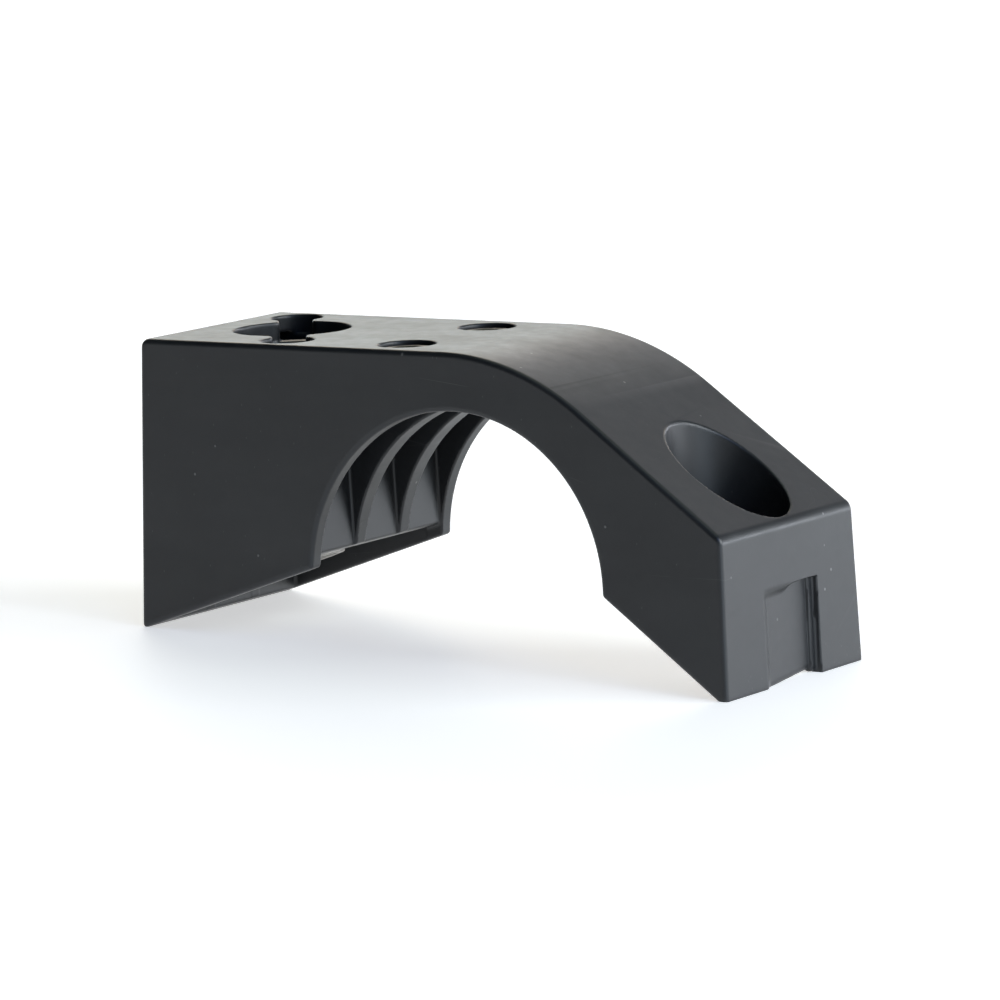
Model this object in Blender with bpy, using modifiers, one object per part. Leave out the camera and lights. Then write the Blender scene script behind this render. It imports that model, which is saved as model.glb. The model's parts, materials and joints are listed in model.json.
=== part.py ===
"""Saddle bracket for a two inch tube, with two bolt bosses and two threaded deck inserts.

One ribbed plastic moulding carries two steel bolt sleeves and two threaded inserts.
Origin: on the flat deck, midway between the two inserts. +X runs along the bracket
towards its sloping foot, +Z is up, and the bolt axes are vertical. Lengths are in metres.
"""

import math

import bmesh
import bpy
from mathutils import Vector

MM = 0.001

# Overall form, in the XZ plane
DECK_HALF_WIDTH = 17.5 * MM
SIDE_DRAFT = math.radians(1.66)
END_DRAFT = math.radians(1.6)
DECK_LEFT_X = -44.0 * MM
BASE_HEIGHT = 44.0 * MM
BASE_TILT = math.radians(18.9)
SLOPE = math.radians(35.8)
BEND_CORNER_X = 23.6 * MM
BEND_RADIUS = 41.0 * MM
FOOT_TOP_X = 58.1 * MM
FOOT_HEEL_DROP = 34.3 * MM
TIP_RADIUS = 1.4 * MM
TOP_EDGE_RADIUS = 1.3 * MM
EDGE_RADIUS = 0.9 * MM

# The saddle that the tube lies in
SADDLE_X = 12.15 * MM
SADDLE_DROP = 34.3 * MM
SADDLE_RADIUS = 25.6 * MM
SADDLE_START_DEG = 4.0
SADDLE_END_DEG = 172.0

# Walls, ribs and the cored cells between them
CELL_HALF_WIDTH = 15.8 * MM
RIB_OFFSET = 5.65 * MM
RIB_THICKNESS = 2.3 * MM
SKIN = 2.6 * MM
END_WALL = 2.3 * MM
CROSS_WALL = 2.3 * MM
CROSS_WALL_SETBACK = 0.3 * MM
CROWN_RIB = 2.3 * MM
RELIEF = 2.0 * MM
CELL_DRAFT = math.radians(2.0)
CELL_MOUTH_DROP = 33.0 * MM

# Bolt stations
BOLT_BASE_X = -28.4 * MM
BOLT_FOOT_X = 48.2 * MM
COUNTERBORE_RADIUS = 8.75 * MM
BASE_SEAT_DROP = 11.0 * MM
FOOT_SEAT_DROP = 31.0 * MM
BOSS_RADIUS = 11.0 * MM
SLEEVE_OUTER_RADIUS = 6.5 * MM
SLEEVE_INNER_RADIUS = 5.25 * MM
SLEEVE_CHAMFER = 0.4 * MM
SLEEVE_INSET = 0.2 * MM

# Finger recesses beside the base counterbore
EAR_RADIUS = 3.95 * MM
EAR_DISTANCE = 14.2 * MM
EAR_ANGLE = math.radians(33.0)
EAR_DEPTH = 3.0 * MM
EAR_SLOT_WIDTH = 5.0 * MM

# Threaded deck inserts
INSERT_OFFSET = 10.5 * MM
INSERT_HOLE_RADIUS = 4.3 * MM
INSERT_HOLE_DEPTH = 7.2 * MM
INSERT_BOSS_RADIUS = 6.5 * MM
INSERT_BOSS_FLOOR = 1.8 * MM
INSERT_RADIUS = 4.0 * MM
INSERT_GROOVE_RADIUS = 3.5 * MM
INSERT_GROOVE_WIDTH = 1.0 * MM
INSERT_THREAD_RADIUS = 2.1 * MM
INSERT_LENGTH = 6.2 * MM
INSERT_INSET = 0.65 * MM
INSERT_CHAMFER = 0.35 * MM

# Key slot in the end face
SLOT_HALF_WIDTH = 7.2 * MM
SLOT_TOP_DROP = 33.8 * MM
SLOT_DEPTH = 1.5 * MM
SLOT_LEDGE_WIDTH = 1.1 * MM
SLOT_LEDGE_DEPTH = 1.0 * MM

GAP = 0.3 * MM
REACH = 70.0 * MM
WELD = 0.00001
FLAT_ANGLE = math.radians(0.5)
SHARP_ANGLE = math.radians(30.0)

MATERIALS = {
    "moulded_plastic": ((0.030, 0.032, 0.036), 0.48, 0.0),
    "stainless_steel": ((0.62, 0.61, 0.59), 0.30, 1.0),
}


def clear_scene():
    for item in list(bpy.data.objects):
        bpy.data.objects.remove(item, do_unlink=True)


def make_collection(name):
    collection = bpy.data.collections.new(name)
    bpy.context.scene.collection.children.link(collection)
    return collection


def make_material(name):
    colour, roughness, metallic = MATERIALS[name]
    material = bpy.data.materials.new(name)
    material.use_nodes = True
    shader = material.node_tree.nodes["Principled BSDF"]
    shader.inputs["Base Color"].default_value = (*colour, 1.0)
    shader.inputs["Roughness"].default_value = roughness
    shader.inputs["Metallic"].default_value = metallic
    return material


# ---------------------------------------------------------------- geometry of the side view


def end_face_x(z):
    """X of the drafted end face at height z."""
    return FOOT_TOP_X + (slope_z(FOOT_TOP_X) - z) * math.tan(END_DRAFT)


def slope_z(x):
    """Height of the sloping top surface at x."""
    return -(x - BEND_CORNER_X) * math.tan(SLOPE)


def base_z(x):
    """Height of the underside below the deck."""
    return -BASE_HEIGHT + (x - base_corner_x()) * math.tan(BASE_TILT)


def base_corner_x():
    return DECK_LEFT_X - BASE_HEIGHT * math.tan(END_DRAFT)


def foot_z(x):
    """Height of the underside of the foot, parallel to the slope above it."""
    heel_x = SADDLE_X + SADDLE_RADIUS
    return -FOOT_HEEL_DROP - (x - heel_x) * math.tan(SLOPE)


def arc(centre, radius, start, end, steps):
    """Points on an arc in the side view, angles in degrees from +X."""
    points = []
    for i in range(steps + 1):
        angle = math.radians(start + (end - start) * i / steps)
        points.append((centre[0] + radius * math.cos(angle), centre[1] + radius * math.sin(angle)))
    return points


def top_outline(offset, steps):
    """The deck, the bend and the slope, moved inwards by offset."""
    slope_deg = math.degrees(SLOPE)
    tangent = BEND_RADIUS * math.tan(SLOPE / 2)
    centre = (BEND_CORNER_X - tangent, -BEND_RADIUS)
    return arc(centre, BEND_RADIUS - offset, 90.0, 90.0 - slope_deg, steps)


def body_outline():
    """Side view of the moulding, clockwise from the deck's left edge."""
    points = arc(
        (DECK_LEFT_X + TOP_EDGE_RADIUS, -TOP_EDGE_RADIUS), TOP_EDGE_RADIUS,
        180.0, 90.0, 4,
    )
    points += top_outline(0.0, 12)
    points.append((FOOT_TOP_X, slope_z(FOOT_TOP_X)))
    points += tip_arc()
    points.append((SADDLE_X + SADDLE_RADIUS, -FOOT_HEEL_DROP))
    points += arc((SADDLE_X, -SADDLE_DROP), SADDLE_RADIUS, SADDLE_START_DEG, SADDLE_END_DEG, 42)
    heel_x = SADDLE_X - SADDLE_RADIUS
    points.append((heel_x, base_z(heel_x)))
    points.append((base_corner_x(), -BASE_HEIGHT))
    return points


def tip_arc():
    """Rounded corner between the end face and the underside of the foot."""
    edge_x = end_face_x(-FOOT_HEEL_DROP - (FOOT_TOP_X - SADDLE_X - SADDLE_RADIUS) * math.tan(SLOPE))
    x = edge_x - TIP_RADIUS
    z = foot_z(x) + TIP_RADIUS / math.cos(SLOPE)
    return arc((x, z), TIP_RADIUS, 0.0, -90.0 - math.degrees(SLOPE), 6)


# ---------------------------------------------------------------- building blocks


def finish_mesh(mesh):
    """Weld the seams and join flat neighbours into one face."""
    bm = bmesh.new()
    bm.from_mesh(mesh)
    bmesh.ops.remove_doubles(bm, verts=bm.verts, dist=WELD)
    bmesh.ops.dissolve_limit(bm, angle_limit=FLAT_ANGLE, verts=bm.verts, edges=bm.edges)
    bmesh.ops.recalc_face_normals(bm, faces=bm.faces)
    bm.to_mesh(mesh)
    bm.free()


def prism(name, outline, y_low, y_high, collection):
    """A side-view outline, filled and extruded from y_low to y_high."""
    curve = bpy.data.curves.new(name, "CURVE")
    curve.dimensions = "2D"
    curve.fill_mode = "BOTH"
    curve.extrude = (y_high - y_low) / 2
    spline = curve.splines.new("POLY")
    spline.points.add(len(outline) - 1)
    for point, (x, z) in zip(spline.points, outline):
        point.co = (x, z, 0.0, 1.0)
    spline.use_cyclic_u = True
    source = bpy.data.objects.new(name + "_outline", curve)
    source.location = (0.0, (y_low + y_high) / 2, 0.0)
    source.rotation_euler = (math.pi / 2, 0.0, 0.0)
    collection.objects.link(source)
    bpy.context.view_layer.update()
    evaluated = source.evaluated_get(bpy.context.evaluated_depsgraph_get())
    mesh = bpy.data.meshes.new_from_object(evaluated)
    mesh.name = name
    finish_mesh(mesh)
    solid = bpy.data.objects.new(name, mesh)
    solid.matrix_world = source.matrix_world.copy()
    collection.objects.link(solid)
    bpy.data.objects.remove(source, do_unlink=True)
    return solid


def cylinder(name, x, y, z_low, z_high, radius, segments, collection):
    """A vertical cylinder."""
    mesh = bpy.data.meshes.new(name)
    bm = bmesh.new()
    bmesh.ops.create_cone(
        bm, cap_ends=True, segments=segments, radius1=radius, radius2=radius,
        depth=z_high - z_low,
    )
    bm.to_mesh(mesh)
    bm.free()
    solid = bpy.data.objects.new(name, mesh)
    solid.location = (x, y, (z_low + z_high) / 2)
    collection.objects.link(solid)
    return solid


def block(name, low, high, collection):
    """An upright box between two corners."""
    mesh = bpy.data.meshes.new(name)
    bm = bmesh.new()
    bmesh.ops.create_cube(bm, size=1.0)
    size = Vector(high) - Vector(low)
    bmesh.ops.scale(bm, vec=size, verts=bm.verts)
    bm.to_mesh(mesh)
    bm.free()
    solid = bpy.data.objects.new(name, mesh)
    solid.location = (Vector(low) + Vector(high)) / 2
    collection.objects.link(solid)
    return solid


def turned(name, profile, steps, collection):
    """A profile of (radius, z) points, closed, turned about the vertical axis."""
    mesh = bpy.data.meshes.new(name)
    bm = bmesh.new()
    ring = [bm.verts.new((radius, 0.0, z)) for radius, z in profile]
    for first, second in zip(ring, ring[1:] + ring[:1]):
        bm.edges.new((first, second))
    bm.to_mesh(mesh)
    bm.free()
    solid = bpy.data.objects.new(name, mesh)
    collection.objects.link(solid)
    screw = solid.modifiers.new("turn", "SCREW")
    screw.axis = "Z"
    screw.angle = 2 * math.pi
    screw.steps = steps
    screw.render_steps = steps
    screw.use_merge_vertices = True
    screw.merge_threshold = WELD
    screw.use_smooth_shade = False
    return solid


def cut(target, cutter):
    """Take the cutter away from the target, and mark the cutter as one."""
    boolean = target.modifiers.new("cut_" + cutter.name, "BOOLEAN")
    boolean.operation = "DIFFERENCE"
    boolean.solver = "EXACT"
    boolean.object = cutter
    cutter.hide_render = True
    cutter.display_type = "WIRE"


def shade_round(solid):
    """Apply the modifiers, then shade the round faces smooth and keep the real edges sharp."""
    bpy.context.view_layer.update()
    evaluated = solid.evaluated_get(bpy.context.evaluated_depsgraph_get())
    mesh = bpy.data.meshes.new_from_object(evaluated)
    mesh.name = solid.name
    solid.modifiers.clear()
    solid.data = mesh
    mesh.shade_smooth()
    mesh.set_sharp_from_angle(angle=SHARP_ANGLE)


# ---------------------------------------------------------------- the moulding


def add_side_draft(solid):
    """Widen the side faces evenly towards the bottom, so that the part leaves its mould."""
    for vertex in solid.data.vertices:
        side = math.copysign(1.0, vertex.co.z)
        vertex.co.z = side * (DECK_HALF_WIDTH - vertex.co.y * math.tan(SIDE_DRAFT))


def add_cell_draft(cell):
    """Narrow a cell evenly from its mouth up to its ceiling, as its core needs to come out."""
    for vertex in cell.data.vertices:
        side = math.copysign(1.0, vertex.co.z)
        rise = vertex.co.y + CELL_MOUTH_DROP
        vertex.co.z -= side * rise * math.tan(CELL_DRAFT)


def cell_bands():
    """The three bands across the width that the ribs leave open."""
    rib_inner = RIB_OFFSET - RIB_THICKNESS / 2
    rib_outer = RIB_OFFSET + RIB_THICKNESS / 2
    return {
        "near": (-CELL_HALF_WIDTH, -rib_outer),
        "middle": (-rib_inner, rib_inner),
        "far": (rib_outer, CELL_HALF_WIDTH),
    }


def zone_outlines():
    """Side view of each row of cells: cored from below up to the skin."""
    bend = top_outline(SKIN, 8)
    saddle_left = SADDLE_X - SADDLE_RADIUS - CROSS_WALL_SETBACK
    saddle_right = SADDLE_X + SADDLE_RADIUS + CROSS_WALL_SETBACK
    base_left = DECK_LEFT_X + END_WALL
    base_right = saddle_left - CROSS_WALL
    foot_left = saddle_right + CROSS_WALL
    foot_right = FOOT_TOP_X - END_WALL
    crown_left = SADDLE_X - CROWN_RIB / 2
    crown_right = SADDLE_X + CROWN_RIB / 2
    skin_drop = SKIN / math.cos(SLOPE)
    return {
        "base": [(base_left, -REACH), (base_left, -SKIN), (base_right, -SKIN), (base_right, -REACH)],
        "crown": [(saddle_left, -REACH), (saddle_left, -SKIN), (crown_left, -SKIN),
                  (crown_left, -REACH)],
        "bend": [(crown_right, -REACH), (crown_right, -SKIN), *[p for p in bend if p[0] > crown_right],
                 (saddle_right, slope_z(saddle_right) - skin_drop), (saddle_right, -REACH)],
        "foot": [(foot_left, -REACH), (foot_left, slope_z(foot_left) - skin_drop),
                 (foot_right, slope_z(foot_right) - skin_drop), (foot_right, -REACH)],
    }


def bosses(collection):
    """Columns that stay solid inside the cells.

    The two for the bolts run right down, and the two for the inserts hang from the deck.
    """
    columns = [
        cylinder("keep_base_boss", BOLT_BASE_X, 0.0, -REACH, 0.0, BOSS_RADIUS, 36, collection),
        cylinder("keep_foot_boss", BOLT_FOOT_X, 0.0, -REACH, 0.0, BOSS_RADIUS, 36, collection),
    ]
    for side, name in ((-1, "near"), (1, "far")):
        columns.append(cylinder(
            "keep_insert_boss_" + name, 0.0, side * INSERT_OFFSET,
            -INSERT_HOLE_DEPTH - INSERT_BOSS_FLOOR, 0.0, INSERT_BOSS_RADIUS, 32, collection,
        ))
    for column in columns:
        column.hide_render = True
        column.display_type = "WIRE"
    return columns


def relief_outlines():
    """Side view of the shallow relief that leaves only a rim standing at the underside."""
    base_left = DECK_LEFT_X + END_WALL
    base_right = SADDLE_X
    foot_left = SADDLE_X
    foot_right = FOOT_TOP_X - END_WALL
    return {
        "base": [(base_left, -REACH), (base_left, base_z(base_left) + RELIEF),
                 (base_right, base_z(base_right) + RELIEF), (base_right, -REACH)],
        "foot": [(foot_left, -REACH), (foot_left, foot_z(foot_left) + RELIEF),
                 (foot_right, foot_z(foot_right) + RELIEF), (foot_right, -REACH)],
    }


def core_out(body, collection):
    """Cut the cells and the relief, and leave the columns standing.

    The foot has no middle cell, because its bolt boss fills that space.
    """
    columns = {column.name: column for column in bosses(collection)}
    kept_in = {
        "base": ["keep_base_boss"],
        "crown": ["keep_insert_boss_near", "keep_insert_boss_far"],
        "bend": [],
        "foot": ["keep_foot_boss"],
    }
    bands = cell_bands()
    for zone, outline in zone_outlines().items():
        for band, (y_low, y_high) in bands.items():
            if zone == "foot" and band == "middle":
                continue
            cell = prism("cell_" + zone + "_" + band, outline, y_low, y_high, collection)
            add_cell_draft(cell)
            for name in kept_in[zone]:
                cut(cell, columns[name])
            cut(body, cell)
    for zone, outline in relief_outlines().items():
        relief = prism("relief_" + zone, outline, -CELL_HALF_WIDTH, CELL_HALF_WIDTH, collection)
        add_cell_draft(relief)
        cut(body, relief)


def bore_out(body, collection):
    """Cut the bolt counterbores and bores, the ears, and the insert holes."""
    bore_radius = SLEEVE_OUTER_RADIUS + GAP
    for name, x, seat_drop in (("base", BOLT_BASE_X, BASE_SEAT_DROP),
                               ("foot", BOLT_FOOT_X, FOOT_SEAT_DROP)):
        cut(body, cylinder("counterbore_" + name, x, 0.0, -seat_drop, REACH / 10,
                           COUNTERBORE_RADIUS, 56, collection))
        cut(body, cylinder("bore_" + name, x, 0.0, -REACH, REACH / 10, bore_radius, 48, collection))
    for side, name in ((-1, "near"), (1, "far")):
        ear_x = BOLT_BASE_X - side * EAR_DISTANCE * math.sin(EAR_ANGLE)
        ear_y = side * EAR_DISTANCE * math.cos(EAR_ANGLE)
        cut(body, cylinder("ear_" + name, ear_x, ear_y, -EAR_DEPTH, REACH / 10,
                           EAR_RADIUS, 32, collection))
        cut(body, cylinder("insert_hole_" + name, 0.0, side * INSERT_OFFSET,
                           -INSERT_HOLE_DEPTH, REACH / 10, INSERT_HOLE_RADIUS, 32, collection))
    channel = block("ear_channel", (-EAR_SLOT_WIDTH / 2, -EAR_DISTANCE, -EAR_DEPTH),
                    (EAR_SLOT_WIDTH / 2, EAR_DISTANCE, REACH / 10), collection)
    channel.location.x = BOLT_BASE_X
    channel.rotation_euler.z = EAR_ANGLE
    cut(body, channel)


def slot_out(body, collection):
    """Cut the key slot in the end face, with a ramp along one side and a ledge along the other."""
    floor_x = end_face_x(-SLOT_TOP_DROP)
    step_y = SLOT_HALF_WIDTH - SLOT_LEDGE_WIDTH
    floor = block("slot_floor", (floor_x - SLOT_DEPTH, -SLOT_HALF_WIDTH + SLOT_DEPTH, -REACH),
                  (floor_x + REACH / 10, step_y, -SLOT_TOP_DROP), collection)
    for vertex in floor.data.vertices:
        if vertex.co.x > 0.0 and vertex.co.y < 0.0:
            vertex.co.y -= SLOT_DEPTH + REACH / 10
    cut(body, floor)
    cut(body, block("slot_ledge", (floor_x - SLOT_LEDGE_DEPTH, step_y - GAP, -REACH),
                    (floor_x + REACH / 10, SLOT_HALF_WIDTH, -SLOT_TOP_DROP), collection))


def make_body(parts, cutters):
    body = prism("bracket_body", body_outline(), -DECK_HALF_WIDTH, DECK_HALF_WIDTH, parts)
    add_side_draft(body)
    rounding = body.modifiers.new("round_outer_edges", "BEVEL")
    rounding.width = EDGE_RADIUS
    rounding.segments = 2
    rounding.limit_method = "ANGLE"
    rounding.angle_limit = SHARP_ANGLE
    rounding.use_clamp_overlap = False
    core_out(body, cutters)
    bore_out(body, cutters)
    slot_out(body, cutters)
    body.data.materials.append(make_material("moulded_plastic"))
    return body


# ---------------------------------------------------------------- the metal parts


def make_sleeve(name, x, seat_drop, underside, tilt, parts, cutters, material):
    """A bolt sleeve from the counterbore's floor down to the tilted lower end of its boss."""
    top = -seat_drop
    bottom = underside(x) - SLEEVE_OUTER_RADIUS * math.tan(abs(tilt)) - SLEEVE_CHAMFER
    inner = SLEEVE_INNER_RADIUS
    outer = SLEEVE_OUTER_RADIUS
    edge = SLEEVE_CHAMFER
    sleeve = turned(name, [
        (outer - edge, top), (outer, top - edge), (outer, bottom), (inner, bottom),
        (inner, top - edge), (inner + edge, top),
    ], 48, parts)
    sleeve.location.x = x
    trim = block("trim_" + name, (-REACH / 2, -REACH / 2, -REACH / 2), (REACH / 2, REACH / 2, 0.0),
                 cutters)
    normal = Vector((math.sin(tilt), 0.0, -math.cos(tilt)))
    face = Vector((x, 0.0, underside(x) + RELIEF)) - normal * SLEEVE_INSET
    trim.location = face + normal * REACH / 4
    trim.rotation_euler.y = -tilt
    cut(sleeve, trim)
    sleeve.data.materials.append(material)
    return sleeve


def make_insert(name, side, parts, material):
    """A threaded insert with two lead chamfers and a retaining groove."""
    outer = INSERT_RADIUS
    inner = INSERT_THREAD_RADIUS
    edge = INSERT_CHAMFER
    groove_top = -(INSERT_LENGTH - INSERT_GROOVE_WIDTH) / 2
    groove_bottom = -(INSERT_LENGTH + INSERT_GROOVE_WIDTH) / 2
    insert = turned(name, [
        (outer - edge, 0.0), (outer, -edge), (outer, groove_top),
        (INSERT_GROOVE_RADIUS, groove_top - edge), (INSERT_GROOVE_RADIUS, groove_bottom + edge),
        (outer, groove_bottom), (outer, -INSERT_LENGTH + edge), (outer - edge, -INSERT_LENGTH),
        (inner, -INSERT_LENGTH), (inner, -2 * edge), (inner + 2 * edge, 0.0),
    ], 40, parts)
    insert.location = (0.0, side * INSERT_OFFSET, -INSERT_INSET)
    insert.data.materials.append(material)
    return insert


def main():
    clear_scene()
    parts = make_collection("saddle_bracket")
    cutters = make_collection("cutters")
    make_body(parts, cutters)
    steel = make_material("stainless_steel")
    make_sleeve("base_bolt_sleeve", BOLT_BASE_X, BASE_SEAT_DROP, base_z, BASE_TILT,
                parts, cutters, steel)
    make_sleeve("foot_bolt_sleeve", BOLT_FOOT_X, FOOT_SEAT_DROP, foot_z, -SLOPE,
                parts, cutters, steel)
    make_insert("deck_insert_near", -1, parts, steel)
    make_insert("deck_insert_far", 1, parts, steel)
    for solid in list(parts.objects):
        shade_round(solid)


main()
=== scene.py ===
"""Looks of the moulded saddle bracket: the ribbed moulding, its metal inserts and sleeves, and the studio.

The moulding is described as a signed distance field, which gives every edge and inner corner
the round that a mould leaves, and is then turned into a mesh. Lengths are in metres, in the
frame of the CAD part: +X towards the sloping foot, +Z up out of the deck.
"""

import json
import math

import bmesh
import bpy
import numpy as np
from mathutils import Matrix, Vector


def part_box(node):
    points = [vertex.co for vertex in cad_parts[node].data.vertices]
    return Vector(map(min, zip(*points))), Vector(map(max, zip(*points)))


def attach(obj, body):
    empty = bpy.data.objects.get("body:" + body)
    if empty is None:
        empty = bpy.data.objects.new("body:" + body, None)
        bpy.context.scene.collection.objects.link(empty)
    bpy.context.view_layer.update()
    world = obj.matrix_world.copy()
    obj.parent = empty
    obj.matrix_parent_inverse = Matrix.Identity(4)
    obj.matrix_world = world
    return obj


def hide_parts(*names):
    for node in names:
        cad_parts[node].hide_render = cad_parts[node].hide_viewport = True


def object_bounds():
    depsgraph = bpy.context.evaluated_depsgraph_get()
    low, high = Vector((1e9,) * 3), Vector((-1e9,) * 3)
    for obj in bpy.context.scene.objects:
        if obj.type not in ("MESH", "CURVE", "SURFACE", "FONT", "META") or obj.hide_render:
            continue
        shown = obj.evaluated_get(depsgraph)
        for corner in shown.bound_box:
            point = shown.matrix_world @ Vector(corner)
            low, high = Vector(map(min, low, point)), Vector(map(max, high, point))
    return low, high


MM = 0.001

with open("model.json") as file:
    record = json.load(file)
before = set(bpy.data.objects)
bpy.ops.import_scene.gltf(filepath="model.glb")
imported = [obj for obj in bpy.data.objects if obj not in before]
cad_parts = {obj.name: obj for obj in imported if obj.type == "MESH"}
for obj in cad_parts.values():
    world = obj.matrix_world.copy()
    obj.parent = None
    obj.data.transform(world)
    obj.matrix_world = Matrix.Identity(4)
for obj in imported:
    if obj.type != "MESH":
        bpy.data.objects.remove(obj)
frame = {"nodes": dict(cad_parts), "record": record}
CAD_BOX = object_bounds()

# ---------------------------------------------------------------- sizes: positions from the frame, the rest given

MOUNTS = {mount["name"]: Vector(mount["pos_m"]) for mount in frame["record"]["mounts"]}


def node_centre(name):
    low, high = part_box(name)
    return (low + high) / 2


BODY_LOW, BODY_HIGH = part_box("bracket_body")
BASE_BOLT_X = node_centre("base_bolt_sleeve").x
FOOT_BOLT_X = node_centre("foot_bolt_sleeve").x
BASE_SEAT_Z = MOUNTS["base_bolt_seat"].z
FOOT_SEAT_Z = MOUNTS["foot_bolt_seat"].z
INSERT_Y = node_centre("deck_insert_far").y

# Overall form, as in the CAD part
DECK_HALF_WIDTH = 17.5 * MM
SIDE_DRAFT = math.radians(1.66)
END_DRAFT = math.radians(1.6)
DECK_LEFT_X = -44.0 * MM
BASE_HEIGHT = 44.0 * MM
BASE_TILT = math.radians(18.9)
SLOPE = math.radians(35.8)
BEND_CORNER_X = 23.6 * MM
BEND_RADIUS = 41.0 * MM
FOOT_TOP_X = 58.1 * MM
FOOT_HEEL_DROP = 34.3 * MM
SADDLE_X = 12.15 * MM
SADDLE_Z = -34.3 * MM
SADDLE_RADIUS = 25.6 * MM

# Rounds
TOP_LEFT_ROUND = 1.3 * MM
TIP_ROUND = 1.4 * MM
OUTER_ROUND = 0.75 * MM
HEEL_ROUND = 0.4 * MM
RIM_ROUND = 0.35 * MM
RIB_ROUND = 0.28 * MM
INNER_ROUND = 0.5 * MM

# Cores under the skin
CELL_HALF_WIDTH = 15.8 * MM
RIB_OFFSET = 5.65 * MM
RIB_THICKNESS = 2.3 * MM
SKIN = 2.6 * MM
WALL = 2.3 * MM
CROSS_WALL_SETBACK = 0.3 * MM
RELIEF = 2.0 * MM
RIB_SETBACK = 2.5 * MM
CELL_DRAFT = math.radians(2.0)
CELL_MOUTH_Z = -33.0 * MM
BOSS_RADIUS = 11.0 * MM
INSERT_BOSS_RADIUS = 6.5 * MM
INSERT_BOSS_END = -9.0 * MM

# Holes, recesses and the end slot
COUNTERBORE_RADIUS = 8.75 * MM
SLEEVE_RADIUS = 6.5 * MM
SLEEVE_BORE_RADIUS = 5.25 * MM
SLEEVE_PLAY = 0.05 * MM
EAR_RADIUS = 3.95 * MM
EAR_DISTANCE = 14.2 * MM
EAR_ANGLE = math.radians(33.0)
EAR_DEPTH = 3.0 * MM
EAR_CHANNEL_HALF_WIDTH = 2.5 * MM
EAR_CORNER_ROUND = 1.1 * MM
INSERT_HOLE_RADIUS = 4.3 * MM
INSERT_HOLE_DEPTH = 7.2 * MM
SLOT_HALF_WIDTH = 7.2 * MM
SLOT_TOP_Z = -33.8 * MM
SLOT_DEPTH = 1.5 * MM
SLOT_LEDGE_WIDTH = 1.1 * MM
SLOT_LEDGE_DEPTH = 1.0 * MM
SLOT_STEP_DEPTH = 0.45 * MM
SLOT_STEP_WIDTH = 2.0 * MM
SLOT_STEP_SHIFT = 0.35
SLOT_WALL_WIDTH = 0.25 * MM
SLOT_TOP_FADE = 1.5 * MM

# Metal pieces
SLEEVE_ROUND = 0.3 * MM
SLEEVE_SETBACK = 0.2 * MM
INSERT_RADIUS = 4.0 * MM
INSERT_ROUND = 0.3 * MM
INSERT_GROOVE_RADIUS = 3.5 * MM
INSERT_GROOVE_HALF = 0.5 * MM
THREAD_RADIUS = 2.1 * MM
THREAD_DEPTH = 0.4 * MM
THREAD_PITCH = 0.8 * MM
THREAD_STEEPNESS = 0.7
THREAD_LEAD = 0.3 * MM

# Sampling of the field
PITCH = 0.3 * MM
METAL_PITCH = 0.16 * MM
MARGIN = 3.0 * MM
FLAT_ANGLE = math.radians(0.2)

# Black plastic: linear colours, and the fineness of its patterns in cycles a metre
PLASTIC_COLOUR = (0.015, 0.0155, 0.0165)
PLASTIC_DARK = (0.0113, 0.0126, 0.0145)
PLASTIC_PALE = (0.0155, 0.0172, 0.0192)
PLASTIC_MOTTLE = (0.020, 0.0218, 0.0235)
PLASTIC_SPECK = (0.16, 0.16, 0.155)
PLASTIC_ROUGHNESS = 0.40
PLASTIC_IOR = 1.5
CLOUD_SCALE = 45.0
MOTTLE_SCALE = 420.0
GRAIN_SCALE = 5200.0
FLOW_SCALE = 130.0
FIBRE_SCALE = 1500.0
DUST_SCALE = 260.0
SCRATCH_SCALE = 95.0
SCRATCH_GATE_SCALE = 60.0
FLOW_HEIGHT = 0.012 * MM
GRAIN_HEIGHT = 0.0035 * MM
DUST_HEIGHT = 0.02 * MM

# Turned steel
STEEL_COLOUR = (0.40, 0.39, 0.37)
STEEL_STAIN = (0.22, 0.21, 0.20)
# The inserts' steel is set far darker than the sleeves' so that the insert holes look dark: painted shade
# for a recess. Their stain pattern is a real stain, darkened the same way.
INSERT_SHADED_COLOUR = (0.120, 0.117, 0.110)
INSERT_STAIN_AND_SHADE = (0.070, 0.066, 0.060)
STEEL_ROUGHNESS = 0.42
STEEL_FEED = 0.25 * MM
STEEL_WOBBLE = 0.12 * MM
WOBBLE_SCALE = 900.0
STAIN_SCALE = 380.0
STEEL_GRAIN_SCALE = 3800.0
RING_HEIGHT = 0.002 * MM
STEEL_GRAIN_HEIGHT = 0.003 * MM

# Camera
CAMERA_AZIMUTH = math.radians(34.35)
CAMERA_ELEVATION = math.radians(8.38)
CAMERA_ROLL = math.radians(-2.25)
CAMERA_DISTANCE = 938.7 * MM
CAMERA_AIM = Vector((1.0, 0.7, -0.4)) * MM
CAMERA_LENS = 228.0
CAMERA_SENSOR = 36.0

# Table and surroundings
FLOOR_HALF_SIZE = 6.0
FLOOR_COLOUR = (0.86, 0.86, 0.86)
FLOOR_DARK = (0.85, 0.85, 0.85)
FLOOR_PALE = (0.87, 0.87, 0.87)
FLOOR_ROUGHNESS = 0.6
FLOOR_TONE_SCALE = 4.0
FLOOR_GLOW = 0.60
STANCE = 20.0 * MM
WORLD_COLOUR = (0.9, 0.95, 1.0, 1.0)
WORLD_STRENGTH = 0.01

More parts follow.
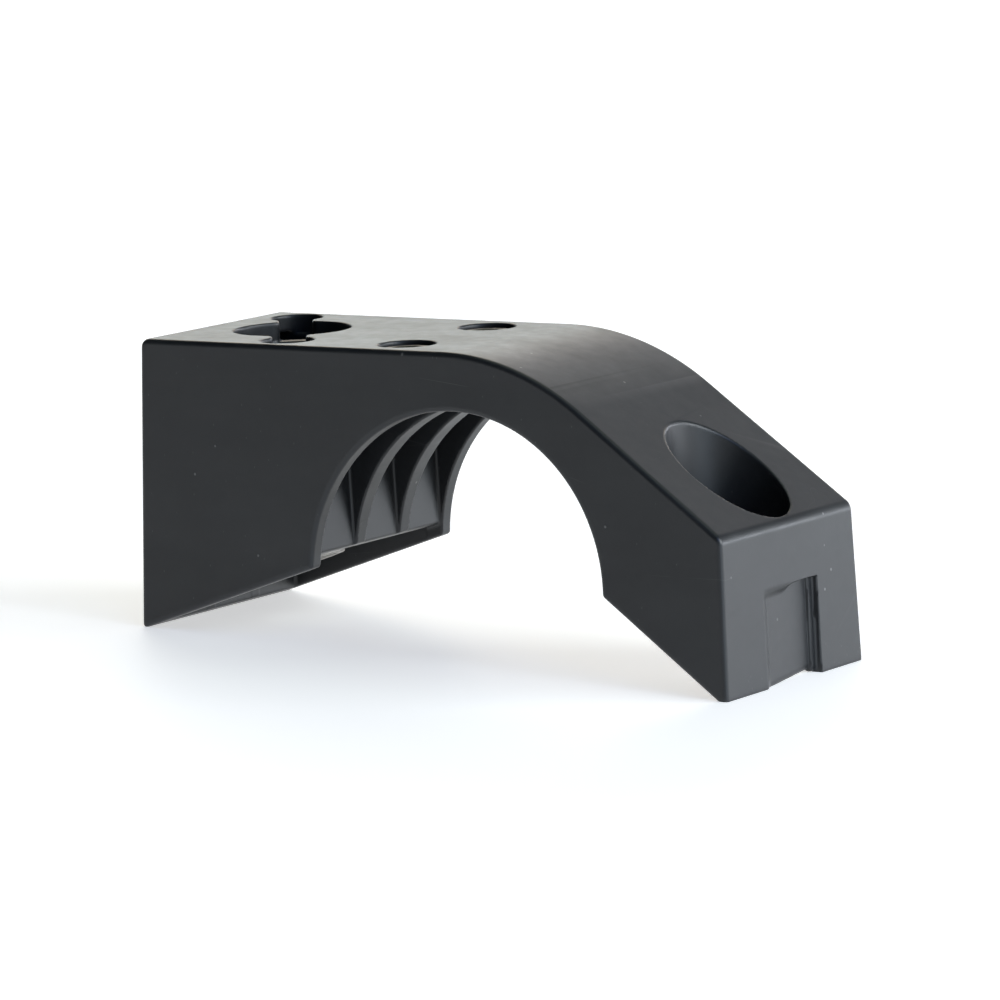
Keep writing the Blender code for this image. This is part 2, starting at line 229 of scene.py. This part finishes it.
# Lights: name, azimuth, elevation, width and height in degrees, distance, radiance per colour
SOFTBOXES = (
    ("key_right", 45.0, 4.0, 30.0, 8.0, 4.0, (9.6, 10.2, 11.0)),
    ("edge_right", 75.0, 4.0, 30.0, 8.0, 4.0, (6.0, 6.2, 6.8)),
    ("right_low", 15.0, 4.0, 30.0, 8.0, 4.0, (1.3, 1.4, 1.6)),
    ("front_right", 345.0, 4.0, 30.0, 8.0, 4.0, (3.6, 4.5, 5.4)),
    ("right_mid", 15.0, 24.0, 50.0, 20.0, 4.0, (7.4, 7.9, 8.2)),
    ("back_low_left", 135.0, 4.0, 30.0, 8.0, 5.0, (0.6, 0.4, 0.2)),
    ("back_right", 105.0, 13.0, 29.0, 10.0, 5.0, (4.1, 3.7, 3.2)),
    ("back_left", 135.0, 13.0, 29.0, 10.0, 5.0, (1.5, 2.0, 2.3)),
    ("back_mid", 105.0, 24.0, 27.5, 12.0, 5.0, (0.4, 0.5, 0.7)),
    ("back_high", 135.0, 24.0, 27.5, 12.0, 5.0, (4.6, 4.1, 3.4)),
    ("back_upper", 112.0, 40.0, 34.0, 20.0, 5.0, (1.1, 1.05, 0.95)),
    ("front_high", 337.5, 40.0, 34.0, 20.0, 4.0, (0.3, 0.7, 1.8)),
    ("top", 90.0, 80.0, 40.0, 40.0, 4.0, (0.7, 0.8, 0.7)),
)


# ---------------------------------------------------------------- fields: negative inside


def both(a, b, radius=0.0):
    """The space that two fields share, its edge rounded to the radius."""
    corner = np.hypot(np.maximum(a + radius, 0.0), np.maximum(b + radius, 0.0))
    return np.minimum(np.maximum(a, b), -radius) + corner


def either(a, b, radius=0.0):
    """The space of two fields together, with a fillet of the radius between them."""
    return -both(-a, -b, radius)


def without(solid, hole, radius=0.0):
    """The solid less the hole, the hole's rim rounded to the radius."""
    return both(solid, -hole, radius)


def between(value, low, high):
    return np.abs(value - (low + high) / 2) - (high - low) / 2


def column(x, y, centre_x, centre_y, radius):
    return np.hypot(x - centre_x, y - centre_y) - radius


def top_field(x, z):
    """Below the deck, the bend and the slope."""
    centre_x = BEND_CORNER_X - BEND_RADIUS * math.tan(SLOPE / 2)
    centre_z = -BEND_RADIUS
    slope = (x - BEND_CORNER_X) * math.sin(SLOPE) + z * math.cos(SLOPE)
    bend = np.hypot(x - centre_x, z - centre_z) - BEND_RADIUS
    past_bend = (x - centre_x) * math.cos(SLOPE) > (z - centre_z) * math.sin(SLOPE)
    return np.where(x <= centre_x, z, np.where(past_bend, slope, bend))


def left_field(x, z):
    return (DECK_LEFT_X + z * math.tan(END_DRAFT) - x) * math.cos(END_DRAFT)


def right_field(x, z):
    corner_z = -(FOOT_TOP_X - BEND_CORNER_X) * math.tan(SLOPE)
    face_x = FOOT_TOP_X + (corner_z - z) * math.tan(END_DRAFT)
    return (x - face_x) * math.cos(END_DRAFT)


def base_field(x, z):
    """Above the underside of the block under the deck."""
    corner_x = DECK_LEFT_X - BASE_HEIGHT * math.tan(END_DRAFT)
    surface_z = -BASE_HEIGHT + (x - corner_x) * math.tan(BASE_TILT)
    return (surface_z - z) * math.cos(BASE_TILT)


def foot_field(x, z):
    """Above the underside of the foot, which is parallel to the slope."""
    heel_x = SADDLE_X + SADDLE_RADIUS
    surface_z = -FOOT_HEEL_DROP - (x - heel_x) * math.tan(SLOPE)
    return (surface_z - z) * math.cos(SLOPE)


def tube_field(x, z):
    """The space that the tube takes, open downwards."""
    return np.hypot(x - SADDLE_X, np.maximum(z - SADDLE_Z, 0.0)) - SADDLE_RADIUS


def outer_field(x, y, z):
    """The moulding before it is cored and bored."""
    left = both(left_field(x, z), base_field(x, z), OUTER_ROUND)
    end = right_field(x, z) + slot_depth(y, z)
    right = both(end, foot_field(x, z), TIP_ROUND)
    top = top_field(x, z)
    profile = np.where(
        x < SADDLE_X,
        both(top, left, TOP_LEFT_ROUND),
        both(top, right, OUTER_ROUND),
    )
    profile = without(profile, tube_field(x, z), HEEL_ROUND)
    half_width = DECK_HALF_WIDTH - z * math.tan(SIDE_DRAFT)
    sides = (np.abs(y) - half_width) * math.cos(SIDE_DRAFT)
    return both(profile, sides, OUTER_ROUND)


def band_field(y, z, low, high):
    """A band across the width that narrows upwards, as its core needs to come out."""
    rise = z - CELL_MOUTH_Z
    half_width = (high - low) / 2 - rise * math.tan(CELL_DRAFT)
    return (np.abs(y - (low + high) / 2) - half_width) * math.cos(CELL_DRAFT)


def cell_bands():
    inner = RIB_OFFSET - RIB_THICKNESS / 2
    outer = RIB_OFFSET + RIB_THICKNESS / 2
    return {
        "near": (-CELL_HALF_WIDTH, -outer),
        "middle": (-inner, inner),
        "far": (outer, CELL_HALF_WIDTH),
    }


def cell_zones():
    """X range of each row of cells."""
    saddle_left = SADDLE_X - SADDLE_RADIUS - CROSS_WALL_SETBACK
    saddle_right = SADDLE_X + SADDLE_RADIUS + CROSS_WALL_SETBACK
    return {
        "base": (DECK_LEFT_X + WALL, saddle_left - WALL),
        "crown": (saddle_left, SADDLE_X - WALL / 2),
        "bend": (SADDLE_X + WALL / 2, saddle_right),
        "foot": (saddle_right + WALL, FOOT_TOP_X - WALL),
    }


def bosses_field(x, y, z):
    """The columns that stay solid for the bolts, and the short ones for the inserts."""
    bolts = np.minimum(
        column(x, y, BASE_BOLT_X, 0.0, BOSS_RADIUS), column(x, y, FOOT_BOLT_X, 0.0, BOSS_RADIUS)
    )
    inserts = column(x, np.abs(y), 0.0, INSERT_Y, INSERT_BOSS_RADIUS)
    return np.minimum(bolts, both(inserts, INSERT_BOSS_END - z, INNER_ROUND))


def cells_field(x, y, z):
    """All the cored cells, with their ceilings one skin below the top."""
    ceiling = top_field(x, z) + SKIN
    bosses = bosses_field(x, y, z)
    cells = np.inf
    for zone, (x_low, x_high) in cell_zones().items():
        length = both(between(x, x_low, x_high), ceiling, INNER_ROUND)
        for band, (y_low, y_high) in cell_bands().items():
            if (zone, band) != ("foot", "middle"):
                cell = both(length, band_field(y, z, y_low, y_high), INNER_ROUND)
                cells = np.minimum(cells, cell)
    return without(cells, bosses, INNER_ROUND)


def relief_field(x, y, z):
    """The step that sets ribs, cross walls and bosses back from the rim of the underside."""
    length = between(x, DECK_LEFT_X + WALL, FOOT_TOP_X - WALL)
    width = band_field(y, z, -CELL_HALF_WIDTH, CELL_HALF_WIDTH)
    base = -base_field(x, z) - RELIEF * math.cos(BASE_TILT)
    foot = -foot_field(x, z) - RELIEF * math.cos(SLOPE)
    relief = both(both(length, width, INNER_ROUND), np.where(x < SADDLE_X, base, foot), INNER_ROUND)
    behind_wall = between(x, DECK_LEFT_X + WALL, SADDLE_X - SADDLE_RADIUS - CROSS_WALL_SETBACK - WALL)
    deep = both(both(behind_wall, width, INNER_ROUND), base - RIB_SETBACK, INNER_ROUND)
    return np.minimum(relief, deep)


def ears_plan(x, y):
    """Plan of the two round finger recesses and the channel that joins them."""
    cos, sin = math.cos(EAR_ANGLE), math.sin(EAR_ANGLE)
    across = (x - BASE_BOLT_X) * cos + y * sin
    along = -(x - BASE_BOLT_X) * sin + y * cos
    rounds = np.hypot(across, np.abs(along) - EAR_DISTANCE) - EAR_RADIUS
    channel = both(np.abs(across) - EAR_CHANNEL_HALF_WIDTH, np.abs(along) - EAR_DISTANCE)
    return either(rounds, channel, INNER_ROUND)


def smooth_step(value):
    value = np.clip(value, 0.0, 1.0)
    return value * value * (3.0 - 2.0 * value)


def slot_depth(y, z):
    """Depth of the key slot in the end face.

    The floor starts with a soft step on the near side and slopes down to the far side, where it
    ends at a narrow ledge and a wall. The slot's top edge fades out towards the near side.
    """
    step = SLOT_STEP_DEPTH * smooth_step((y + SLOT_HALF_WIDTH) / SLOT_STEP_WIDTH + SLOT_STEP_SHIFT)
    incline = np.clip((y + SLOT_HALF_WIDTH) / (2 * SLOT_HALF_WIDTH - SLOT_LEDGE_WIDTH), 0.0, 1.0)
    floor = step + (SLOT_DEPTH - SLOT_STEP_DEPTH) * incline
    on_ledge = smooth_step((y - SLOT_HALF_WIDTH + SLOT_LEDGE_WIDTH) / SLOT_WALL_WIDTH + 0.5)
    outside = smooth_step((y - SLOT_HALF_WIDTH) / SLOT_WALL_WIDTH + 0.5)
    crisp = smooth_step((y + SLOT_TOP_FADE) / (3 * SLOT_TOP_FADE))
    fade = SLOT_TOP_FADE + (SLOT_WALL_WIDTH - SLOT_TOP_FADE) * crisp
    down = smooth_step((SLOT_TOP_Z - z) / fade)
    return (floor + (SLOT_LEDGE_DEPTH - floor) * on_ledge) * (1.0 - outside) * down


def moulding_field(x, y, z):
    """The whole moulding."""
    body = outer_field(x, y, z)
    body = without(body, cells_field(x, y, z), RIB_ROUND)
    body = without(body, relief_field(x, y, z), RIB_ROUND)
    for centre_x, seat_z in ((BASE_BOLT_X, BASE_SEAT_Z), (FOOT_BOLT_X, FOOT_SEAT_Z)):
        counterbore = both(column(x, y, centre_x, 0.0, COUNTERBORE_RADIUS), seat_z - z, RIM_ROUND)
        body = without(body, counterbore, RIM_ROUND)
        body = without(body, column(x, y, centre_x, 0.0, SLEEVE_RADIUS + SLEEVE_PLAY))
    plan = either(ears_plan(x, y), column(x, y, BASE_BOLT_X, 0.0, COUNTERBORE_RADIUS), EAR_CORNER_ROUND)
    body = without(body, both(plan, -EAR_DEPTH - z, RIM_ROUND), RIM_ROUND)
    insert_hole = both(
        column(x, np.abs(y), 0.0, INSERT_Y, INSERT_HOLE_RADIUS), -INSERT_HOLE_DEPTH - z, RIM_ROUND
    )
    return without(body, insert_hole, RIM_ROUND)


# ---------------------------------------------------------------- from field to mesh

CORNERS = np.array([(i, j, k) for i in (0, 1) for j in (0, 1) for k in (0, 1)])
CUBE_EDGES = [
    (a, b) for a in range(8) for b in range(a + 1, 8) if np.abs(CORNERS[a] - CORNERS[b]).sum() == 1
]


def sample(field, low, high, pitch):
    """The field on a grid between two corners."""
    axes = [np.arange(low[i], high[i] + pitch, pitch) for i in range(3)]
    x, y, z = np.meshgrid(*axes, indexing="ij", sparse=True)
    return field(x, y, z).astype(np.float32)


def net_points(values, crossed):
    """One point in each crossed cell, in grid units: the mean of its edge crossings."""
    cells = np.argwhere(crossed)
    at = [values[tuple((cells + corner).T)] for corner in CORNERS]
    total = np.zeros((len(cells), 3))
    hits = np.zeros(len(cells))
    for a, b in CUBE_EDGES:
        hit = (at[a] < 0) != (at[b] < 0)
        gap = np.where(hit, at[a] - at[b], 1.0)
        share = np.where(hit, at[a] / gap, 0.0)
        crossing = CORNERS[a] + share[:, None] * (CORNERS[b] - CORNERS[a])
        total += hit[:, None] * crossing
        hits += hit
    return cells + total / hits[:, None]


def net_faces(inside, index):
    """A quad around each grid edge that the surface crosses, facing outwards."""
    faces = []
    for axis in range(3):
        u, v = (axis + 1) % 3, (axis + 2) % 3
        low = [slice(1, -1)] * 3
        low[axis] = slice(0, -1)
        high = list(low)
        high[axis] = slice(1, None)
        start = inside[tuple(low)]
        crossing = np.argwhere(start != inside[tuple(high)])
        outwards = start[tuple(crossing.T)]
        crossing[:, u] += 1
        crossing[:, v] += 1
        ring = []
        for du, dv in ((-1, -1), (0, -1), (0, 0), (-1, 0)):
            cell = crossing.copy()
            cell[:, u] += du
            cell[:, v] += dv
            ring.append(index[tuple(cell.T)])
        quads = np.stack(ring, axis=1)
        faces.append(np.where(outwards[:, None], quads, quads[:, ::-1]))
    return np.concatenate(faces)


def gradient(field, points, step=0.005 * MM):
    """Unit outward normal of the field at each point, and how steeply the field rises there."""
    slope = np.empty_like(points)
    for axis in range(3):
        ahead, behind = points.copy(), points.copy()
        ahead[:, axis] += step
        behind[:, axis] -= step
        slope[:, axis] = field(*ahead.T) - field(*behind.T)
    length = np.maximum(np.linalg.norm(slope, axis=1), 1e-12)
    return slope / length[:, None], length / (2 * step)


def field_mesh(name, field, low, high, pitch):
    """A closed mesh on the field's surface, flat where the surface is flat."""
    values = sample(field, low, high, pitch)
    inside = values < 0
    count = np.zeros([n - 1 for n in inside.shape], np.int8)
    for i, j, k in CORNERS:
        count += inside[i:i + count.shape[0], j:j + count.shape[1], k:k + count.shape[2]]
    crossed = (count > 0) & (count < 8)
    index = np.full(count.shape, -1, np.int32)
    index[crossed] = np.arange(crossed.sum())
    points = np.array(low) + pitch * net_points(values, crossed)
    for _ in range(3):
        normal, steepness = gradient(field, points)
        shift = np.clip(field(*points.T) / np.maximum(steepness, 1.0), -pitch, pitch)
        points -= normal * shift[:, None]
    quads = net_faces(inside, index)
    mesh = bpy.data.meshes.new(name)
    mesh.vertices.add(len(points))
    mesh.vertices.foreach_set("co", points.astype(np.float32).ravel())
    mesh.loops.add(quads.size)
    mesh.loops.foreach_set("vertex_index", quads.astype(np.int32).ravel())
    mesh.polygons.add(len(quads))
    mesh.polygons.foreach_set("loop_start", np.arange(0, quads.size, 4, dtype=np.int32))
    mesh.update(calc_edges=True)
    mesh.validate()
    return mesh


def join_flats(mesh):
    """Join neighbouring faces that lie in one plane."""
    bm = bmesh.new()
    bm.from_mesh(mesh)
    bmesh.ops.dissolve_limit(bm, angle_limit=FLAT_ANGLE, verts=bm.verts, edges=bm.edges)
    bm.to_mesh(mesh)
    bm.free()


def net_object(name, field, box, pitch):
    """A named object on the field's surface, shaded with the field's own normals."""
    low, high = box
    margin = Vector((MARGIN, MARGIN, MARGIN))
    mesh = field_mesh(name, field, low - margin, high + margin, pitch)
    join_flats(mesh)
    shade_from_field(mesh, field)
    solid = bpy.data.objects.new(name, mesh)
    bpy.context.scene.collection.objects.link(solid)
    return solid


def shade_from_field(mesh, field):
    """Shade the mesh with the field's own normals."""
    points = np.empty(len(mesh.vertices) * 3)
    mesh.vertices.foreach_get("co", points)
    mesh.shade_smooth()
    normals, _ = gradient(field, points.reshape(-1, 3))
    mesh.normals_split_custom_set_from_vertices(normals.tolist())


# ---------------------------------------------------------------- metal pieces


def sleeve_field(x, y, z, centre_x, seat_z, end_field):
    """A bolt sleeve, its lower end parallel to the underside."""
    radius = np.hypot(x - centre_x, y)
    wall = both(radius - SLEEVE_RADIUS, z - seat_z, SLEEVE_ROUND)
    wall = both(wall, end_field(x, z) + SLEEVE_SETBACK, SLEEVE_ROUND / 2)
    return both(wall, SLEEVE_BORE_RADIUS - radius, SLEEVE_ROUND)


def insert_field(x, y, z, centre_y, top_z, bottom_z):
    """A threaded insert with a groove around it and a helical thread inside."""
    radius = np.hypot(x, y - centre_y)
    angle = np.arctan2(y - centre_y, x) / (2 * math.pi)
    outer = both(radius - INSERT_RADIUS, between(z, bottom_z, top_z), INSERT_ROUND)
    middle = (bottom_z + top_z) / 2
    groove = both(INSERT_GROOVE_RADIUS - radius, np.abs(z - middle) - INSERT_GROOVE_HALF)
    outer = without(outer, groove, INSERT_ROUND / 2)
    phase = z / THREAD_PITCH - angle
    wave = 2 * np.abs(phase - np.floor(phase) - 0.5)
    bore = (THREAD_RADIUS + THREAD_DEPTH * wave - radius) * THREAD_STEEPNESS
    lead = (THREAD_RADIUS + THREAD_DEPTH + z - top_z + THREAD_LEAD - radius) / math.sqrt(2.0)
    return both(outer, np.maximum(bore, lead), INSERT_ROUND / 4)


# ---------------------------------------------------------------- materials


def new_material(name, colour, roughness, metallic):
    """A node material, with its node tree and its main shader."""
    material = bpy.data.materials.new(name)
    material.use_nodes = True
    tree = material.node_tree
    shader = tree.nodes["Principled BSDF"]
    shader.inputs["Base Color"].default_value = (*colour, 1.0)
    shader.inputs["Roughness"].default_value = roughness
    shader.inputs["Metallic"].default_value = metallic
    return material, tree, shader


def placed(tree, stretch=(1.0, 1.0, 1.0), turn=(0.0, 0.0, 0.0), origin=(0.0, 0.0, 0.0)):
    """The part's own coordinates, moved, turned and stretched."""
    place = tree.nodes.new("ShaderNodeTexCoord")
    mapping = tree.nodes.new("ShaderNodeMapping")
    mapping.inputs["Location"].default_value = [-value for value in origin]
    mapping.inputs["Rotation"].default_value = turn
    mapping.inputs["Scale"].default_value = stretch
    tree.links.new(place.outputs["Object"], mapping.inputs["Vector"])
    return mapping.outputs["Vector"]


def noise(tree, scale, detail=3.0, roughness=0.5, place=None):
    """Noise, its scale in cycles a metre."""
    texture = tree.nodes.new("ShaderNodeTexNoise")
    texture.inputs["Scale"].default_value = scale
    texture.inputs["Detail"].default_value = detail
    texture.inputs["Roughness"].default_value = roughness
    tree.links.new(place or placed(tree), texture.inputs["Vector"])
    return texture.outputs["Fac"]


def ranged(tree, value, low, high, out_low, out_high):
    """The value moved from one range to another, and kept inside it."""
    node = tree.nodes.new("ShaderNodeMapRange")
    node.inputs["From Min"].default_value = low
    node.inputs["From Max"].default_value = high
    node.inputs["To Min"].default_value = out_low
    node.inputs["To Max"].default_value = out_high
    tree.links.new(value, node.inputs["Value"])
    return node.outputs["Result"]


def calculate(tree, operation, first, second):
    node = tree.nodes.new("ShaderNodeMath")
    node.operation = operation
    for socket, value in zip(node.inputs, (first, second)):
        if isinstance(value, float):
            socket.default_value = value
        else:
            tree.links.new(value, socket)
    return node.outputs["Value"]


def blended(tree, amount, first, second):
    """One colour turning into another. Each is a colour or a node's output."""
    node = tree.nodes.new("ShaderNodeMix")
    node.data_type = "RGBA"
    tree.links.new(amount, node.inputs["Factor"])
    for socket, value in ((node.inputs[6], first), (node.inputs[7], second)):
        if isinstance(value, tuple):
            socket.default_value = (*value, 1.0)
        else:
            tree.links.new(value, socket)
    return node.outputs[2]


def specks(tree, scale, size, share, place=None):
    """Scattered dots: size is a part of the spacing, share the part of the cells with a dot."""
    texture = tree.nodes.new("ShaderNodeTexVoronoi")
    texture.inputs["Scale"].default_value = scale
    tree.links.new(place or placed(tree), texture.inputs["Vector"])
    chosen = tree.nodes.new("ShaderNodeSeparateColor")
    tree.links.new(texture.outputs["Color"], chosen.inputs["Color"])
    dot = ranged(tree, texture.outputs["Distance"], size * 0.5, size, 1.0, 0.0)
    lit = calculate(tree, "LESS_THAN", chosen.outputs["Red"], share)
    return calculate(tree, "MULTIPLY", dot, lit)


def bumped(tree, shader, layers):
    """Height layers of (value, distance in metres), put on the shader's normal one after another."""
    normal = None
    for value, distance in layers:
        bump = tree.nodes.new("ShaderNodeBump")
        bump.inputs["Strength"].default_value = 1.0
        bump.inputs["Distance"].default_value = distance
        tree.links.new(value, bump.inputs["Height"])
        if normal:
            tree.links.new(normal, bump.inputs["Normal"])
        normal = bump.outputs["Normal"]
    tree.links.new(normal, shader.inputs["Normal"])


def moulded_plastic():
    """Black glass-filled plastic with a fine spark-eroded grain, dust specks and rub marks."""
    material, tree, shader = new_material("moulded_plastic", PLASTIC_COLOUR, PLASTIC_ROUGHNESS, 0.0)
    shader.inputs["IOR"].default_value = PLASTIC_IOR
    cloud = noise(tree, CLOUD_SCALE, 4.0, 0.6)
    mottle = noise(tree, MOTTLE_SCALE, 3.0, 0.6)
    grain = noise(tree, GRAIN_SCALE, 2.0, 0.55)
    flow = noise(tree, FLOW_SCALE, 3.0, 0.55, placed(tree, (0.35, 1.0, 1.6), (0.0, 0.35, 0.0)))
    colour = blended(tree, ranged(tree, cloud, 0.35, 0.65, 0.0, 1.0), PLASTIC_DARK, PLASTIC_PALE)
    colour = blended(tree, ranged(tree, mottle, 0.45, 0.8, 0.0, 0.35), colour, PLASTIC_MOTTLE)
    fibre = specks(tree, FIBRE_SCALE, 0.16, 0.10, placed(tree, (1.0, 1.0, 0.5)))
    dust = specks(tree, DUST_SCALE, 0.07, 0.22)
    marks = calculate(tree, "MAXIMUM", calculate(tree, "MULTIPLY", fibre, 0.25), dust)
    colour = blended(tree, calculate(tree, "MULTIPLY", marks, 0.75), colour, PLASTIC_SPECK)
    scuff = rubs(tree)
    colour = blended(tree, calculate(tree, "MULTIPLY", scuff, 0.35), colour, PLASTIC_SPECK)
    tree.links.new(colour, shader.inputs["Base Color"])
    rough = calculate(
        tree, "ADD", ranged(tree, flow, 0.3, 0.7, -0.035, 0.035),
        ranged(tree, mottle, 0.3, 0.7, PLASTIC_ROUGHNESS - 0.03, PLASTIC_ROUGHNESS + 0.03),
    )
    rough = calculate(tree, "ADD", rough, calculate(tree, "MULTIPLY", scuff, 0.15))
    tree.links.new(rough, shader.inputs["Roughness"])
    bumped(tree, shader, ((flow, FLOW_HEIGHT), (grain, GRAIN_HEIGHT), (dust, DUST_HEIGHT)))
    return material


def rubs(tree):
    """Faint hair scratches: thin lines where two stretched noises cross their middle."""
    total = None
    for turn, stretch, width in (
        ((0.2, 0.5, 0.1), (0.10, 1.0, 1.0), 0.0022), ((0.1, -0.9, 0.6), (0.14, 1.0, 0.8), 0.0016),
    ):
        line = noise(tree, SCRATCH_SCALE, 1.0, 0.4, placed(tree, stretch, turn))
        gate = noise(tree, SCRATCH_GATE_SCALE, 2.0, 0.5, placed(tree, (1.0, 1.0, 1.0), turn))
        off = calculate(tree, "ABSOLUTE", calculate(tree, "SUBTRACT", line, 0.5), 0.0)
        thin = ranged(tree, off, 0.0, width, 1.0, 0.0)
        mark = calculate(tree, "MULTIPLY", thin, ranged(tree, gate, 0.58, 0.68, 0.0, 1.0))
        total = mark if total is None else calculate(tree, "MAXIMUM", total, mark)
    return total


def turned_steel(name, centre, clean, stained):
    """Steel with the fine rings of a turning tool around the piece's own axis."""
    material, tree, shader = new_material(name, clean, STEEL_ROUGHNESS, 1.0)
    place = placed(tree, origin=(centre.x, centre.y, 0.0))
    parts = tree.nodes.new("ShaderNodeSeparateXYZ")
    tree.links.new(place, parts.inputs["Vector"])
    radius = calculate(
        tree, "SQRT",
        calculate(
            tree, "ADD", calculate(tree, "MULTIPLY", parts.outputs["X"], parts.outputs["X"]),
            calculate(tree, "MULTIPLY", parts.outputs["Y"], parts.outputs["Y"]),
        ), 0.0,
    )
    wobble = calculate(tree, "MULTIPLY", noise(tree, WOBBLE_SCALE, 3.0, 0.6), STEEL_WOBBLE)
    along = calculate(tree, "ADD", calculate(tree, "ADD", radius, parts.outputs["Z"]), wobble)
    rings = calculate(tree, "SINE", calculate(tree, "MULTIPLY", along, 2 * math.pi / STEEL_FEED), 0.0)
    stain = noise(tree, STAIN_SCALE, 4.0, 0.6)
    fine = noise(tree, STEEL_GRAIN_SCALE, 2.0, 0.6)
    colour = blended(tree, ranged(tree, stain, 0.35, 0.7, 0.0, 1.0), clean, stained)
    colour = blended(tree, ranged(tree, fine, 0.5, 0.8, 0.0, 0.4), colour, stained)
    tree.links.new(colour, shader.inputs["Base Color"])
    rough = ranged(tree, stain, 0.3, 0.7, STEEL_ROUGHNESS - 0.05, STEEL_ROUGHNESS + 0.08)
    tree.links.new(rough, shader.inputs["Roughness"])
    bumped(tree, shader, ((rings, RING_HEIGHT), (fine, STEEL_GRAIN_HEIGHT)))
    return material


def add_piece(piece, node, material):
    piece.data.materials.append(material)
    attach(piece, "root")
    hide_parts(node)


def make_part():
    moulding = net_object("bracket_moulding", moulding_field, (BODY_LOW, BODY_HIGH), PITCH)
    add_piece(moulding, "bracket_body", moulded_plastic())
    for node, end_field, seat_z in (
        ("base_bolt_sleeve", lambda x, z: base_field(x, z) + RELIEF * math.cos(BASE_TILT), BASE_SEAT_Z),
        ("foot_bolt_sleeve", lambda x, z: foot_field(x, z) + RELIEF * math.cos(SLOPE), FOOT_SEAT_Z),
    ):
        centre_x = node_centre(node).x
        sleeve = net_object(
            node.replace("_bolt_", "_turned_"),
            lambda x, y, z: sleeve_field(x, y, z, centre_x, seat_z, end_field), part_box(node), PITCH,
        )
        steel = turned_steel("steel_" + node, node_centre(node), STEEL_COLOUR, STEEL_STAIN)
        add_piece(sleeve, node, steel)
    for node in ("deck_insert_near", "deck_insert_far"):
        low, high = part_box(node)
        centre_y = (low.y + high.y) / 2
        insert = net_object(
            node.replace("deck_", "threaded_"),
            lambda x, y, z: insert_field(x, y, z, centre_y, high.z, low.z), (low, high), METAL_PITCH,
        )
        # The inserts take the darkened steel: painted shade for the holes they sit in.
        steel = turned_steel("steel_" + node, node_centre(node), INSERT_SHADED_COLOUR, INSERT_STAIN_AND_SHADE)
        add_piece(insert, node, steel)


# ---------------------------------------------------------------- studio

def support_tilt():
    """Tilt of the surface that the part stands on, with its foot and its block both touching."""
    points = [vertex.co for vertex in frame["nodes"]["bracket_body"].data.vertices]
    foot = min(points, key=lambda p: p.z)
    rest = [p for p in points if p.x < foot.x - STANCE]
    return foot, min(math.atan2(p.z - foot.z, foot.x - p.x) for p in rest)


def make_floor():
    foot, tilt = support_tilt()
    mesh = bpy.data.meshes.new("floor")
    bm = bmesh.new()
    bmesh.ops.create_grid(bm, x_segments=1, y_segments=1, size=FLOOR_HALF_SIZE)
    bm.to_mesh(mesh)
    bm.free()
    floor = bpy.data.objects.new("floor", mesh)
    floor.location = foot
    floor.rotation_euler = (0.0, tilt, 0.0)
    bpy.context.scene.collection.objects.link(floor)
    floor.data.materials.append(floor_material())


def floor_material():
    """A matt white table, lit softly from below, with a trace of uneven tone."""
    material, tree, shader = new_material("floor", FLOOR_COLOUR, FLOOR_ROUGHNESS, 0.0)
    tone = noise(tree, FLOOR_TONE_SCALE, 3.0, 0.5)
    colour = blended(tree, ranged(tree, tone, 0.3, 0.7, 0.0, 1.0), FLOOR_DARK, FLOOR_PALE)
    tree.links.new(colour, shader.inputs["Base Color"])
    tree.links.new(colour, shader.inputs["Emission Color"])
    shader.inputs["Emission Strength"].default_value = FLOOR_GLOW
    rough = ranged(tree, tone, 0.3, 0.7, FLOOR_ROUGHNESS - 0.02, FLOOR_ROUGHNESS + 0.02)
    tree.links.new(rough, shader.inputs["Roughness"])
    return material


def look_along(direction, roll=0.0):
    turn = direction.to_track_quat("-Z", "Y").to_matrix()
    return (turn @ Matrix.Rotation(roll, 3, "Z")).to_4x4()


def make_camera():
    camera_data = bpy.data.cameras.new("camera")
    camera_data.lens = CAMERA_LENS
    camera_data.sensor_width = CAMERA_SENSOR
    camera_data.clip_start = 0.01
    camera_data.clip_end = 50.0
    camera = bpy.data.objects.new("camera", camera_data)
    bpy.context.scene.collection.objects.link(camera)
    low, high = CAD_BOX
    aim = (low + high) / 2 + CAMERA_AIM
    forward = Vector((
        -math.sin(CAMERA_AZIMUTH) * math.cos(CAMERA_ELEVATION),
        math.cos(CAMERA_AZIMUTH) * math.cos(CAMERA_ELEVATION),
        -math.sin(CAMERA_ELEVATION),
    ))
    place = Matrix.Translation(aim - forward * CAMERA_DISTANCE)
    camera.matrix_world = place @ look_along(forward, CAMERA_ROLL)
    bpy.context.scene.camera = camera


def softbox(name, azimuth, elevation, width, height, distance, radiance):
    """An area light that looks at the part.

    Azimuth runs from +X towards +Y. The angles, and the width and height as seen from the part,
    are in degrees, and the radiance is given for each colour.
    """
    data = bpy.data.lights.new(name, "AREA")
    data.shape = "RECTANGLE"
    data.size = 2 * distance * math.tan(math.radians(width / 2))
    data.size_y = 2 * distance * math.tan(math.radians(height / 2))
    peak = max(radiance)
    data.color = [value / peak for value in radiance]
    data.energy = peak * data.size * data.size_y * math.pi
    light = bpy.data.objects.new(name, data)
    a, e = math.radians(azimuth), math.radians(elevation)
    towards = Vector((math.cos(a) * math.cos(e), math.sin(a) * math.cos(e), math.sin(e)))
    low, high = CAD_BOX
    light.matrix_world = Matrix.Translation((low + high) / 2 + towards * distance) @ look_along(-towards)
    light.visible_camera = False
    bpy.context.scene.collection.objects.link(light)


def make_lights():
    world = bpy.data.worlds.new("studio")
    world.use_nodes = True
    background = world.node_tree.nodes["Background"]
    background.inputs["Color"].default_value = WORLD_COLOUR
    background.inputs["Strength"].default_value = WORLD_STRENGTH
    bpy.context.scene.world = world
    for light in SOFTBOXES:
        softbox(*light)


# ---------------------------------------------------------------- the scene

make_part()
make_floor()
make_camera()
make_lights()
bpy.context.scene.view_settings.view_transform = "Standard"
